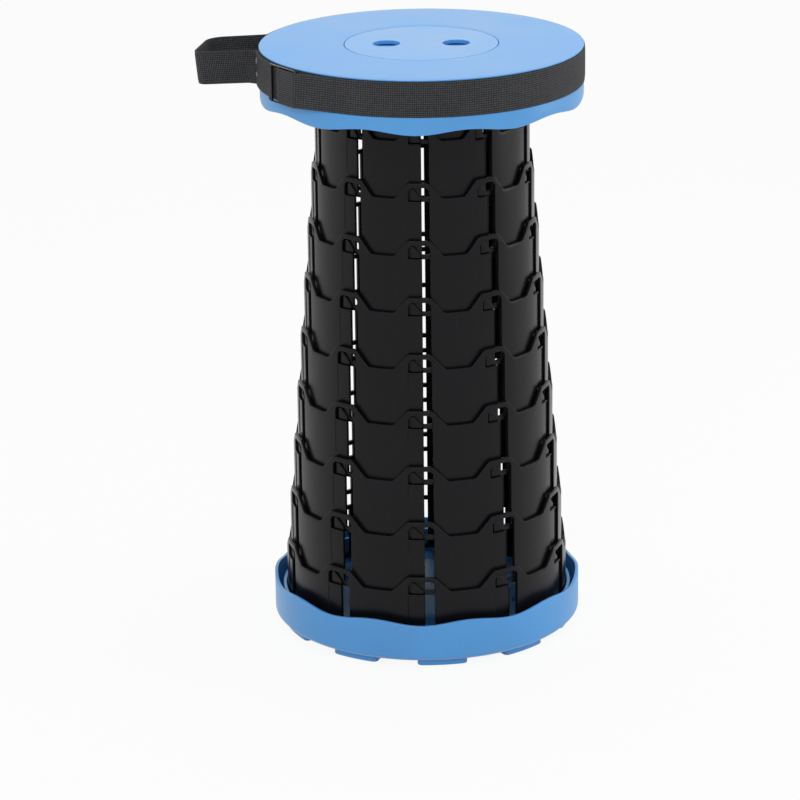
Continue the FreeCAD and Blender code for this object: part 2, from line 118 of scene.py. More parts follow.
# %% [markdown]
# ## Material helpers
# Moulded plastic is never perfectly even. A fine grain comes from the mould's surface,
# the gloss drifts a little over a hand's width, and use leaves faint scratches. One
# shader group makes all three from Object coordinates, so every plastic here uses the
# same recipe with its own values. The group only puts out a colour, a roughness and a
# height; the shader itself stays in each material.

# %% Node helpers
def new_group(name, inputs, outputs):
    group = bpy.data.node_groups.new(name, "ShaderNodeTree")
    for label, kind, value in inputs:
        socket = group.interface.new_socket(label, in_out="INPUT", socket_type=kind)
        if value is not None:
            socket.default_value = value
    for label, kind in outputs:
        group.interface.new_socket(label, in_out="OUTPUT", socket_type=kind)
    return group, group.nodes.new("NodeGroupInput"), group.nodes.new("NodeGroupOutput")


def node(tree, kind, links=None, values=None, **settings):
    made = tree.nodes.new(kind)
    for key, value in settings.items():
        setattr(made, key, value)
    for socket, value in (values or {}).items():
        made.inputs[socket].default_value = value
    for socket, source in (links or {}).items():
        tree.links.new(source, made.inputs[socket])
    return made


def new_material(name):
    material = bpy.data.materials.new(name)
    material.use_nodes = True
    tree = material.node_tree
    return material, tree, tree.nodes["Principled BSDF"]


def connect(tree, shader, colour, roughness, bump):
    tree.links.new(colour, shader.inputs["Base Color"])
    tree.links.new(roughness, shader.inputs["Roughness"])
    tree.links.new(bump.outputs[0], shader.inputs["Normal"])


# %% Moulded plastic group
plastic_group, g_in, g_out = new_group(
    "moulded_plastic",
    [("Vector", "NodeSocketVector", None),
     ("Color", "NodeSocketColor", (0.5, 0.5, 0.5, 1)),
     ("Scratch Color", "NodeSocketColor", (0.8, 0.8, 0.8, 1)),
     ("Roughness", "NodeSocketFloat", 0.4),
     ("Drift", "NodeSocketFloat", 0.08),
     ("Grain Scale", "NodeSocketFloat", 1500.0),
     ("Scratches", "NodeSocketFloat", 0.2)],
    [("Color", "NodeSocketColor"), ("Roughness", "NodeSocketFloat"), ("Height", "NodeSocketFloat")])
grain = node(plastic_group, "ShaderNodeTexNoise",
             {"Vector": g_in.outputs["Vector"], "Scale": g_in.outputs["Grain Scale"]}, {"Detail": 2.0})
cloud = node(plastic_group, "ShaderNodeTexNoise", {"Vector": g_in.outputs["Vector"]},
             {"Scale": 14.0, "Detail": 3.0})
stretch = node(plastic_group, "ShaderNodeMapping", {"Vector": g_in.outputs["Vector"]},
               {"Rotation": (0.5, 0.9, 0.3), "Scale": (900.0, 40.0, 60.0)})
hairs = node(plastic_group, "ShaderNodeTexNoise", {"Vector": stretch.outputs[0]},
             {"Scale": 1.0, "Detail": 1.0})
hair_mask = node(plastic_group, "ShaderNodeMapRange", {"Value": hairs.outputs["Fac"]},
                 {"From Min": 0.66, "From Max": 0.78, "To Min": 0.0, "To Max": 1.0})
worn_mask = node(plastic_group, "ShaderNodeMath",
                 {0: hair_mask.outputs[0], 1: g_in.outputs["Scratches"]}, operation="MULTIPLY")
tint = node(plastic_group, "ShaderNodeMapRange", {"Value": cloud.outputs["Fac"]},
            {"From Min": 0.3, "From Max": 0.7, "To Min": 0.94, "To Max": 1.06})
tinted = node(plastic_group, "ShaderNodeVectorMath",
              {0: g_in.outputs["Color"], "Scale": tint.outputs[0]}, operation="SCALE")
coloured = node(plastic_group, "ShaderNodeMix",
                {0: worn_mask.outputs[0], 6: tinted.outputs[0], 7: g_in.outputs["Scratch Color"]},
                data_type="RGBA")
drifting = node(plastic_group, "ShaderNodeMapRange", {"Value": cloud.outputs["Fac"]},
                {"From Min": 0.3, "From Max": 0.7, "To Min": -1.0, "To Max": 1.0})
rougher = node(plastic_group, "ShaderNodeMath",
               {0: drifting.outputs[0], 1: g_in.outputs["Drift"], 2: g_in.outputs["Roughness"]},
               operation="MULTIPLY_ADD")
rough_worn = node(plastic_group, "ShaderNodeMath",
                  {0: worn_mask.outputs[0], 2: rougher.outputs[0]}, {1: 0.15}, operation="MULTIPLY_ADD")
plastic_group.links.new(coloured.outputs[2], g_out.inputs["Color"])
plastic_group.links.new(rough_worn.outputs[0], g_out.inputs["Roughness"])
plastic_group.links.new(grain.outputs["Fac"], g_out.inputs["Height"])
print("group", plastic_group.name, "has", len(plastic_group.nodes), "nodes")


# %% Plastic material maker
def moulded(name, colour, scratch, roughness, drift, grain_scale, grain_depth, scratches, specular=0.5):
    material, tree, shader = new_material(name)
    shader.inputs["IOR"].default_value = 1.49
    shader.inputs["Specular IOR Level"].default_value = specular
    place = node(tree, "ShaderNodeTexCoord")
    recipe = node(tree, "ShaderNodeGroup", node_tree=plastic_group)
    tree.links.new(place.outputs["Object"], recipe.inputs["Vector"])
    values = {"Color": (*colour, 1), "Scratch Color": (*scratch, 1), "Roughness": roughness,
              "Drift": drift, "Grain Scale": grain_scale, "Scratches": scratches}
    for label, value in values.items():
        recipe.inputs[label].default_value = value
    bump = node(tree, "ShaderNodeBump", {"Height": recipe.outputs["Height"]},
                {"Strength": grain_depth, "Distance": 0.00012})
    connect(tree, shader, recipe.outputs["Color"], recipe.outputs["Roughness"], bump)
    return material


# %% [markdown]
# ## The plastics
# The seat and base are a clear sky blue with a soft satin gloss. The rings are a deep
# black with a low sheen, so that only their edges and their sides catch the light. The
# plugs are the same blue as the seat but come from another mould, a shade smoother.

# %% Plastics
SKY_BLUE, WORN_BLUE = (0.085, 0.335, 0.72), (0.22, 0.46, 0.78)
shell_blue = moulded("shell_blue", SKY_BLUE, WORN_BLUE, roughness=0.36, drift=0.05,
                     grain_scale=1300, grain_depth=0.30, scratches=0.10)
plug_blue = moulded("plug_blue", SKY_BLUE, WORN_BLUE, roughness=0.30, drift=0.04,
                    grain_scale=1500, grain_depth=0.20, scratches=0.08)
ring_black = moulded("ring_black", (0.004, 0.004, 0.0052), (0.02, 0.02, 0.022), roughness=0.28,
                     drift=0.06, grain_scale=1100, grain_depth=0.30, scratches=0.2, specular=0.18)
slider_black = moulded("slider_black", (0.005, 0.005, 0.0055), (0.03, 0.03, 0.03), roughness=0.26,
                       drift=0.06, grain_scale=1500, grain_depth=0.25, scratches=0.2, specular=0.3)
print("plastics ready")

# %% [markdown]
# ## Webbing
# The strap is woven polypropylene tape. Seen close up it is a grid of upright columns of
# short light dashes, where the warp yarns lie on top, with dark gaps between them. The
# dark of the gaps is painted shade: the mortar of a brick texture. The weave follows the
# tape round every bend, so its material reads a UV map in which one unit is one metre
# along and across the tape.

# %% Webbing material
def woven_tape(name, dark, light):
    material, tree, shader = new_material(name)
    shader.inputs["IOR"].default_value = 1.45
    shader.inputs["Specular IOR Level"].default_value = 0.3
    shader.inputs["Sheen Weight"].default_value = 0.04
    shader.inputs["Sheen Roughness"].default_value = 0.4
    weave = node(tree, "ShaderNodeUVMap", uv_map="weave")
    wobble = node(tree, "ShaderNodeTexNoise", {"Vector": weave.outputs[0]}, {"Scale": 500.0, "Detail": 1.0})
    shift = node(tree, "ShaderNodeVectorMath", {0: wobble.outputs["Color"]},
                 {1: (0.0004, 0.0004, 0.0), 2: (-0.0002, -0.0002, 0.0)}, operation="MULTIPLY_ADD")
    moved = node(tree, "ShaderNodeVectorMath", {0: weave.outputs[0], 1: shift.outputs[0]}, operation="ADD")
    yarns = node(tree, "ShaderNodeTexBrick", {"Vector": moved.outputs[0]},
                 {"Scale": 1.0, "Mortar Size": 0.0003, "Mortar Smooth": 0.5, "Bias": 0.0,
                  "Brick Width": 0.0013, "Row Height": 0.0016}, offset=0.0, squash=1.0)
    yarns.inputs["Color1"].default_value = (*light, 1)
    yarns.inputs["Color2"].default_value = (*[a * 0.3 + b * 0.7 for a, b in zip(dark, light)], 1)
    # The mortar colour is painted shade in the sunken gaps between the yarns.
    yarns.inputs["Mortar"].default_value = (*dark, 1)
    fuzz = node(tree, "ShaderNodeTexNoise", {"Vector": weave.outputs[0]},
                {"Scale": 5200.0, "Detail": 2.0, "Roughness": 0.6})
    faded = node(tree, "ShaderNodeTexNoise", {"Vector": weave.outputs[0]}, {"Scale": 45.0, "Detail": 2.0})
    fade = node(tree, "ShaderNodeMapRange", {"Value": faded.outputs["Fac"]},
                {"From Min": 0.3, "From Max": 0.7, "To Min": 0.85, "To Max": 1.15})
    flecked = node(tree, "ShaderNodeMath", {0: fuzz.outputs["Fac"], 1: fade.outputs[0]}, operation="MULTIPLY")
    shade = node(tree, "ShaderNodeMapRange", {"Value": flecked.outputs[0]},
                 {"From Min": 0.3, "From Max": 0.75, "To Min": 0.7, "To Max": 1.35})
    colour = node(tree, "ShaderNodeVectorMath", {0: yarns.outputs["Color"], "Scale": shade.outputs[0]},
                  operation="SCALE")
    rough = node(tree, "ShaderNodeMapRange", {"Value": fuzz.outputs["Fac"]},
                 {"From Min": 0.3, "From Max": 0.7, "To Min": 0.55, "To Max": 0.8})
    relief = node(tree, "ShaderNodeMath", {0: fuzz.outputs["Fac"], 2: yarns.outputs["Fac"]},
                  {1: -0.4}, operation="MULTIPLY_ADD")
    bump = node(tree, "ShaderNodeBump", {"Height": relief.outputs[0]},
                {"Strength": 0.8, "Distance": 0.00025}, invert=True)
    connect(tree, shader, colour.outputs[0], rough.outputs[0], bump)
    return material


# For each, the first colour is the painted shade between the yarns and the second is the yarn's own colour.
tape = woven_tape("webbing_tape", (0.003, 0.003, 0.0035), (0.085, 0.087, 0.094))
stitch_thread = woven_tape("stitch_thread", (0.20, 0.20, 0.21), (0.62, 0.62, 0.64))
print("webbing ready")

# %% [markdown]
# ## Rounded outlines
# Nothing moulded has a perfectly sharp corner. Most pieces here start from a flat
# outline whose corners each have their own radius. The helper replaces every corner by
# a short arc, and works for a closed outline and for an open line.

# %% Rounded outline helper
def rounded(corners, closed=True, steps=5):
    points = []
    count = len(corners)
    for i, (x, y, radius) in enumerate(corners):
        here = Vector((x, y))
        if radius == 0 or (not closed and i in (0, count - 1)):
            points.append(here)
            continue
        back = (Vector(corners[i - 1][:2]) - here)
        ahead = (Vector(corners[(i + 1) % count][:2]) - here)
        half = back.angle(ahead) / 2
        cut = min(radius / math.tan(half), back.length * 0.49, ahead.length * 0.49)
        radius = cut * math.tan(half)
        back.normalize()
        ahead.normalize()
        centre = here + (back + ahead).normalized() * (radius / math.sin(half))
        first = here + back * cut - centre
        last = here + ahead * cut - centre
        sweep = first.angle_signed(last)
        for s in range(steps + 1):
            a = -sweep * s / steps
            spun = Matrix.Rotation(a, 2) @ first
            points.append(centre + spun)
    return points


print("a square with round corners has", len(rounded([(0, 0, 1), (9, 0, 1), (9, 9, 1), (0, 9, 1)])), "points")


# %% [markdown]
# ## Plates with soft edges
# A flat curve with holes, filled and extruded, is the quickest way to a plate whose
# outer and inner edges are all rounded alike. The curve's bevel would make the plate
# larger, so its offset takes the same amount back. The result becomes a plain mesh.

# %% Plate helper
def plate_mesh(name, outlines, thickness, edge, edge_steps=2):
    curve = bpy.data.curves.new(name, "CURVE")
    curve.dimensions = "2D"
    curve.fill_mode = "BOTH"
    curve.extrude = thickness / 2 - edge
    curve.bevel_depth = edge
    curve.bevel_resolution = edge_steps
    curve.offset = -edge
    for outline in outlines:
        spline = curve.splines.new("POLY")
        spline.points.add(len(outline) - 1)
        for point, (x, y) in zip(spline.points, outline):
            point.co = (x, y, 0, 1)
        spline.use_cyclic_u = True
    holder = new_object(name, curve)
    bpy.context.view_layer.update()
    mesh = bpy.data.meshes.new_from_object(holder.evaluated_get(bpy.context.evaluated_depsgraph_get()))
    bpy.data.objects.remove(holder)
    bpy.data.curves.remove(curve)
    return mesh


def soften(mesh, degrees):
    mesh.shade_smooth()
    mesh.set_sharp_from_angle(angle=math.radians(degrees))


def add_piece(name, mesh, material, smooth=40):
    piece = new_object(name, mesh)
    mesh.materials.clear()
    mesh.materials.append(material)
    soften(mesh, smooth)
    return piece


def mesh_from(work, name):
    """A new mesh with what the bmesh holds; the bmesh is freed."""
    mesh = bpy.data.meshes.new(name)
    work.to_mesh(mesh)
    work.free()
    return mesh


def work_on(*meshes):
    """A bmesh with the faces of all the meshes, which are deleted."""
    work = bmesh.new()
    for mesh in meshes:
        work.from_mesh(mesh)
        bpy.data.meshes.remove(mesh)
    return work


def around(out, angle, height):
    """A point at a distance from the axis; the angle is 0 at the front and grows to the right."""
    return out * math.sin(angle), -out * math.cos(angle), height


def finished(name, piece):
    """The evaluated piece as a plain mesh, without its modifiers."""
    bpy.context.view_layer.update()
    graph = bpy.context.evaluated_depsgraph_get()
    mesh = bpy.data.meshes.new_from_object(piece.evaluated_get(graph))
    mesh.name = name
    piece.modifiers.clear()
    piece.data = mesh
    return piece


# %% [markdown]
# ## Repeating round the axis
# Windows, teeth, feet and ribs all come ten times round the stool. Geometry Nodes turn
# one modelled cell into the whole ring: ten points share the axis, each carries a copy
# turned by its share of a full turn, and the copies are realized and welded together.

# %% Repeat tree
def repeat_tree(name):
    tree = bpy.data.node_groups.new(name, "GeometryNodeTree")
    tree.interface.new_socket("Cell", in_out="INPUT", socket_type="NodeSocketGeometry")
    tree.interface.new_socket("Count", in_out="INPUT", socket_type="NodeSocketInt")
    tree.interface.new_socket("Start Angle", in_out="INPUT", socket_type="NodeSocketFloat")
    tree.interface.new_socket("Weld Distance", in_out="INPUT", socket_type="NodeSocketFloat")
    tree.interface.new_socket("Finish", in_out="INPUT", socket_type="NodeSocketMaterial")
    tree.interface.new_socket("Ring", in_out="OUTPUT", socket_type="NodeSocketGeometry")
    start = tree.nodes.new("NodeGroupInput")
    end = tree.nodes.new("NodeGroupOutput")
    points = node(tree, "GeometryNodePoints", {"Count": start.outputs["Count"]})
    index = node(tree, "GeometryNodeInputIndex")
    share = node(tree, "ShaderNodeMath", {1: start.outputs["Count"]}, {0: math.tau}, operation="DIVIDE")
    angle = node(tree, "ShaderNodeMath",
                 {0: index.outputs[0], 1: share.outputs[0], 2: start.outputs["Start Angle"]},
                 operation="MULTIPLY_ADD")
    spin = node(tree, "ShaderNodeCombineXYZ", {"Z": angle.outputs[0]})
    copies = node(tree, "GeometryNodeInstanceOnPoints",
                  {"Points": points.outputs[0], "Instance": start.outputs["Cell"],
                   "Rotation": spin.outputs[0]})
    real = node(tree, "GeometryNodeRealizeInstances", {"Geometry": copies.outputs[0]})
    weld = node(tree, "GeometryNodeMergeByDistance",
                {"Geometry": real.outputs[0], "Distance": start.outputs["Weld Distance"]})
    paint = node(tree, "GeometryNodeSetMaterial",
                 {"Geometry": weld.outputs[0], "Material": start.outputs["Finish"]})
    tree.links.new(paint.outputs[0], end.inputs[0])
    return tree


ten_times = repeat_tree("repeat_round_axis")


def round_axis(piece, material, count=SLOTS, start=0.0, weld=0.00002):
    repeat = piece.modifiers.new("repeat", "NODES")
    repeat.node_group = ten_times
    values = {"Count": count, "Start Angle": start, "Weld Distance": weld, "Finish": material}
    for item in ten_times.interface.items_tree:
        if item.in_out == "INPUT" and item.name in values:
            repeat[item.identifier] = values[item.name]
    return finished(piece.name, piece)


print("repeat tree has", len(ten_times.nodes), "nodes")

# %% [markdown]
# ## One cell of a ring
# Unrolled flat, a tenth of a ring is a panel with a raised tab, a window under the tab
# and a slot that runs down from the window's right part. Left of the slot a strip closes
# the lane of the next tooth; it lies half a millimetre deeper than the panels. The cell
# is drawn flat, sliced into narrow columns, and only then wrapped round the axis, so its
# faces follow the curve. A little is drawn past each side and cut off exactly, so that
# neighbouring cells weld without a seam.

# %% Ring cell
# Angles round the axis are in degrees.
CUT_EDGE = 35
HALF_CELL, DRAWN_PAST, COLUMN = 18, 18.7, 1.5
SHOULDER_ANGLE, TAB_ANGLE = 11.8, 5.4
WINDOW_LEFT, STRIP_EDGE, WINDOW_RIGHT = -5.1, 1.6, 5.6
LEDGE_DEPTH = 13.8 * MM
SLOT_LOW = 3.4 * MM
WALL_EDGE = 0.42 * MM
LANE_RAMP, LANE_REACH = 0.4 * MM, 0.35 * MM
LANE_DEEPER, LANE_THINNER = 0.5 * MM, 1.4 * MM
STRIP_MARGIN = 0.45 * MM
TINY, WELD = 1e-7, 1e-6


def split(work, place, normal, clear=False):
    bmesh.ops.bisect_plane(work, geom=work.verts[:] + work.edges[:] + work.faces[:], dist=TINY,
                           plane_co=place, plane_no=normal, clear_outer=clear)


def split_columns(work, values):
    for value in values:
        split(work, (value, 0, 0), (1, 0, 0))


def wrapped_cell(radius, bottom, outlines, lane=None):
    """A flat cell as a tenth of a ring; lane is the left and right end, foot and top of the strip."""
    arc = math.radians(1) * radius
    work = work_on(plate_mesh("ring_cell", outlines, WALL, WALL_EDGE))
    bmesh.ops.remove_doubles(work, verts=work.verts, dist=TINY)
    columns = [arc * (COLUMN * i - HALF_CELL) for i in range(1, round(2 * HALF_CELL / COLUMN))]
    if lane:
        left, right, foot, top = lane
        columns += [left - STRIP_MARGIN, left, right]
        for height in (foot, foot + LANE_RAMP, top - LANE_RAMP, top):
            split(work, (0, height, 0), (0, 1, 0))
    split_columns(work, columns)
    for side in (-1, 1):
        split(work, (side * arc * HALF_CELL, 0, 0), (side, 0, 0), clear=True)
    middle = radius - WALL / 2
    face = WALL * 0.3
    for v in work.verts:
        across, height, depth = v.co
        if lane and left - WELD < across < right + WELD and height < top - LANE_REACH:
            if depth > face and height > foot + LANE_REACH:
                depth -= LANE_DEEPER
            elif depth < -face:
                depth += LANE_THINNER
        v.co = around(middle + depth, across / radius, height + bottom)
    return mesh_from(work, "ring_cell")


def ring_cell(place):
    radius = ring_radius(place)
    arc = math.radians(1) * radius
    top = RING_HEIGHT
    shoulder = top - 11.6 * MM
    ledge = top - LEDGE_DEPTH
    roof = top - 3.5 * MM
    side, bend, tab = (a * arc for a in (DRAWN_PAST, SHOULDER_ANGLE, TAB_ANGLE))
    panel = rounded([
        (-side, 0, 0), (side, 0, 0), (side, shoulder, 0), (bend, shoulder, 4.0 * MM), (tab, top, 3.0 * MM),
        (-tab, top, 3.0 * MM), (-bend, shoulder, 4.0 * MM), (-side, shoulder, 0)])
    left, strip, right_end = (a * arc for a in (WINDOW_LEFT, STRIP_EDGE, WINDOW_RIGHT))
    hole = rounded([
        (left, ledge, 0.8 * MM), (strip, ledge, 0.5 * MM), (strip, SLOT_LOW, 0.5 * MM),
        (right_end, SLOT_LOW, 0.8 * MM), (right_end, roof, 4.0 * MM), (left, roof, 4.0 * MM)])
    lane = (left, strip - STRIP_MARGIN, 10.4 * MM, ledge - 0.8 * MM)
    return wrapped_cell(radius, ring_bottom(place), [panel, hole], lane)


# %% [markdown]
# ## Teeth
# Low on the left of each slot sits a small wedge that stands in the window of the next
# larger ring. It is steep on its left side and slopes down to the right. Each is a small
# plate with soft edges, wrapped round the same axis as its ring.

# %% Tooth
TOOTH_LEFT, TOOTH_RIGHT = math.radians(-4.1), math.radians(1.0)
TOOTH_LOW, TOOTH_HEIGHT, TOOTH_OUT = 1.2 * MM, 8.8 * MM, 1.65 * MM


def tooth_mesh(radius, bottom):
    low = bottom + TOOTH_LOW
    top = low + TOOTH_HEIGHT
    left = TOOTH_LEFT * radius
    right_end = TOOTH_RIGHT * radius
    wedge = rounded([(left, low, 0.9 * MM), (right_end, low, 0.9 * MM), (right_end, low + 2.4 * MM, 0.9 * MM),
                     (left + 2.4 * MM, top, 1.0 * MM), (left, top, 1.2 * MM)])
    depth = TOOTH_OUT + WALL / 2
    mesh = plate_mesh("tooth", [wedge], depth, 0.35 * MM)
    for v in mesh.vertices:
        out = radius + TOOTH_OUT - depth / 2 + v.co.z
        v.co = around(out, v.co.x / radius, v.co.y)
    return mesh


# %% Nine rings
def finish_ring(name, cell, radius, bottom, body, node_name):
    work = work_on(cell, tooth_mesh(radius, bottom))
    bmesh.ops.remove_doubles(work, verts=work.verts, dist=WELD)
    cell = mesh_from(work, "ring_cell")
    piece = round_axis(add_piece(name, cell, ring_black), ring_black, start=-PATTERN)
    soften(piece.data, CUT_EDGE)
    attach(piece, body)
    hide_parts(node_name)
    print(piece.name, len(piece.data.polygons), "faces")


for place in range(1, RINGS + 1):
    finish_ring("stool_ring_%d" % place, ring_cell(place), ring_radius(place), ring_bottom(place),
                "base" if place == RINGS else "stage_%d" % place, "ring_%d" % place)

# %% [markdown]
# ## The ring under the seat
# The smallest ring is fixed under the seat and slides in ring 1. It has the slots and
# teeth of the others but a straight top, because its upper end is hidden by the plate.

# %% Ring under the seat
COLLAR = ring_radius(0)
COLLAR_LOW = ring_bottom(0)


def plain_cell():
    arc = math.radians(1) * COLLAR
    top = SEAT_TOP - 3.1 * MM - COLLAR_LOW
    side = DRAWN_PAST * arc
    panel = [Vector(p) for p in ((-side, 0), (side, 0), (side, top), (-side, top))]
    strip, right_end = STRIP_EDGE * arc, WINDOW_RIGHT * arc
    slot = rounded([(strip, SLOT_LOW, 0.5 * MM), (right_end, SLOT_LOW, 0.8 * MM),
                    (right_end, top - LEDGE_DEPTH, 0.8 * MM), (strip, top - LEDGE_DEPTH, 0.8 * MM)])
    return wrapped_cell(COLLAR, COLLAR_LOW, [panel, slot])


finish_ring("stool_ring_under_seat", plain_cell(), COLLAR, COLLAR_LOW, "seat", "seat_ring")

# %% [markdown]
# ## Turned shells with a wavy edge
# The seat and the base are round shells whose free edges rise and fall ten times round.
# A lathe made in code turns a rounded section about the axis, and every point of the
# section says how much of the wave it takes: all of it on the free edge, none on the
# plates. That keeps clean rows of quads, where a boolean cut would leave ragged ones.

# %% Lathe helper
def wave(angle):
    return WAVE_RISE * (1 - math.cos(SLOTS * angle)) / 2


def lathe(name, section, material, share, columns=360):
    work = bmesh.new()
    rows = []
    for x, z in section:
        row = []
        weight = share(x, z)
        for c in range(columns):
            a = math.tau * c / columns
            row.append(work.verts.new(around(x, a, z + weight * wave(a + PATTERN))))
        rows.append(row)
    for r in range(len(rows)):
        below, above = rows[r], rows[(r + 1) % len(rows)]
        for c in range(columns):
            n = (c + 1) % columns
            work.faces.new((below[c], below[n], above[n], above[c]))
    bmesh.ops.remove_doubles(work, verts=work.verts, dist=WELD)
    bmesh.ops.recalc_face_normals(work, faces=work.faces)
    return add_piece(name, mesh_from(work, name), material)


def filled(points, gap):
    """Extra points on long straight runs, so that a wave bends them evenly."""
    dense = []
    for i, here in enumerate(points):
        there = points[(i + 1) % len(points)]
        pieces = max(1, math.ceil((there - here).length / gap))
        dense += [here.lerp(there, k / pieces) for k in range(pieces)]
    return dense


# %% [markdown]
# ## Seat cover
# The top is a flat plate with a soft outer edge and a round ledge for the plug. Its
# skirt holds a shallow groove for the webbing and ends in the wavy edge. The floor that
# shows through the two finger holes lies just under the plug.

# %% Seat shell
GROOVE = SEAT_RADIUS - 1.0 * MM
GROOVE_TOP = SEAT_TOP - 0.9 * MM
GROOVE_LOW = SEAT_TOP - 27.1 * MM
PLUG_HOLE = PLUG_RADIUS + 0.4 * MM
WELL = PLUG_HOLE - 3.2 * MM
CUP = PLUG_HOLE + 2.6 * MM
SHELL_WALL = 2.6 * MM
CUP_LOW = SEAT_TOP - 13 * MM
WELL_LOW = SEAT_TOP - PLATE - 0.8 * MM
PLATE_LOW = SEAT_TOP - PLATE
seat_section = filled(rounded([
    (PLUG_HOLE, SEAT_TOP, 0.5 * MM),
    (SEAT_RADIUS, SEAT_TOP, 0.7 * MM),
    (SEAT_RADIUS, GROOVE_TOP, 0.12 * MM),
    (GROOVE, GROOVE_TOP, 0.15 * MM),
    (GROOVE, GROOVE_LOW, 0.3 * MM),
    (SEAT_RADIUS, GROOVE_LOW, 0.5 * MM),
    (SEAT_RADIUS, SKIRT_LOW, 0.6 * MM),
    (GROOVE - SHELL_WALL, SKIRT_LOW, 0.6 * MM),
    (GROOVE - SHELL_WALL, PLATE_LOW, 1.5 * MM),
    (CUP, PLATE_LOW, 1.0 * MM),
    (CUP, CUP_LOW, 1.0 * MM),
    (0, CUP_LOW, 0),
    (0, WELL_LOW, 0),
    (WELL, WELL_LOW, 0.2 * MM),
    (WELL, PLATE_LOW, 0.2 * MM),
    (PLUG_HOLE, PLATE_LOW, 0.2 * MM),
]), 9 * MM)


def skirt_share(x, z):
    """No wave on the plate, all of it on the free edge of the skirt."""
    if x < GROOVE - 10 * MM:
        return 0.0
    start = GROOVE_LOW - 1 * MM
    return min(1.0, max(0.0, (start - z) / (start - SKIRT_LOW)))


seat_shell = lathe("seat_shell", seat_section, shell_blue, skirt_share)
print(seat_shell.name, len(seat_shell.data.polygons), "faces")

# %% [markdown]
# ## Ribs of the seat
# Ten short ribs in the corner between the plate and the skirt stiffen the seat, as they
# do under most moulded seats. They stand at the crests of the wave.

# %% Seat ribs
def rib_mesh(outline, width, edge):
    """A plate standing on a radius: its outline is given as distance from the axis and height."""
    mesh = plate_mesh("rib", [rounded(outline)], width, edge)
    for v in mesh.vertices:
        v.co = (v.co.z, -v.co.x, v.co.y)
    return mesh


gusset = rib_mesh([
    (GROOVE - 11 * MM, SEAT_TOP - 2 * MM, 0), (GROOVE - 1.5 * MM, SEAT_TOP - 2 * MM, 0),
    (GROOVE - 1.5 * MM, SEAT_TOP - 13 * MM, 0), (GROOVE - 3.5 * MM, SEAT_TOP - 13.4 * MM, 0.5 * MM),
    (GROOVE - 10.5 * MM, SEAT_TOP - 4 * MM, 3 * MM)], 2.0 * MM, 0.4 * MM)
seat_ribs = round_axis(add_piece("seat_ribs", gusset, shell_blue), shell_blue, start=CELL / 2 - PATTERN)
for piece in (seat_shell, seat_ribs):
    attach(piece, "seat")
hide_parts("seat_cover")
print("seat ribs have", len(seat_ribs.data.polygons), "faces")

# %% [markdown]
# ## Centre plugs
# A round cover closes the middle of the seat, and a second one the middle of the base.
# Each has two finger holes to lift it by. The cover is a plate with holes: its edges are
# soft, and a thin dark seam shows where it meets the seat.

# %% Plugs
FINGER_PLACE, FINGER_RADIUS = 25.75 * MM, 10 * MM


def ring_points(x, y, radius, count=96):
    return [(x + radius * math.cos(math.tau * i / count), y + radius * math.sin(math.tau * i / count))
            for i in range(count)]


def make_plug(name, node_name, body, low):
    outlines = [ring_points(0, 0, PLUG_RADIUS, 160)]
    for side in (-1, 1):
        outlines.append(ring_points(side * FINGER_PLACE, 0, FINGER_RADIUS))
    mesh = plate_mesh(name, outlines, PLATE, 0.5 * MM, 3)
    for v in mesh.vertices:
        v.co.z += low + PLATE / 2
    plug = add_piece(name, mesh, plug_blue)
    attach(plug, body)
    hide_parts(node_name)
    return plug


seat_plug = make_plug("seat_plug", "seat_centre_plug", "seat", PLATE_LOW)
make_plug("base_plug", "base_centre_plug", "base", 6.5 * MM)
print("plugs", len(seat_plug.data.polygons), "faces each")

# %% [markdown]
# ## Webbing bands
# A band is a centre line seen from above, swept with a flat section. Its ribs are real:
# the faces swell a tenth of a millimetre at every weft yarn, and the two edges are a
# little thicker, as woven tape is. Every vertex gets its metres along and across the
# tape as UV, which is what the woven material reads.

# %% Band helper
RIB = 1.3 * MM


def even_line(points, step, closed):
    """Points every step along a line, with the length up to each and the side direction."""
    runs = list(zip(points, points[1:] + points[:1])) if closed else list(zip(points, points[1:]))
    total = sum((b - a).length for a, b in runs)
    count = max(2, round(total / step))
    wanted = [total * i / count for i in range(count if closed else count + 1)]
    made, at, run = [], 0.0, 0
    for want in wanted:
        while run < len(runs) - 1 and at + (runs[run][1] - runs[run][0]).length < want:
            at += (runs[run][1] - runs[run][0]).length
            run += 1
        a, b = runs[run]
        share = (want - at) / max((b - a).length, 1e-9)
        made.append(a.lerp(b, min(1.0, share)))
    sides = []
    for i, here in enumerate(made):
        before = made[i - 1] if closed or i else here
        after = made[(i + 1) % len(made)] if closed or i < len(made) - 1 else here
        along = (after - before).normalized()
        sides.append(Vector((along.y, -along.x)))
    return made, wanted, sides, total


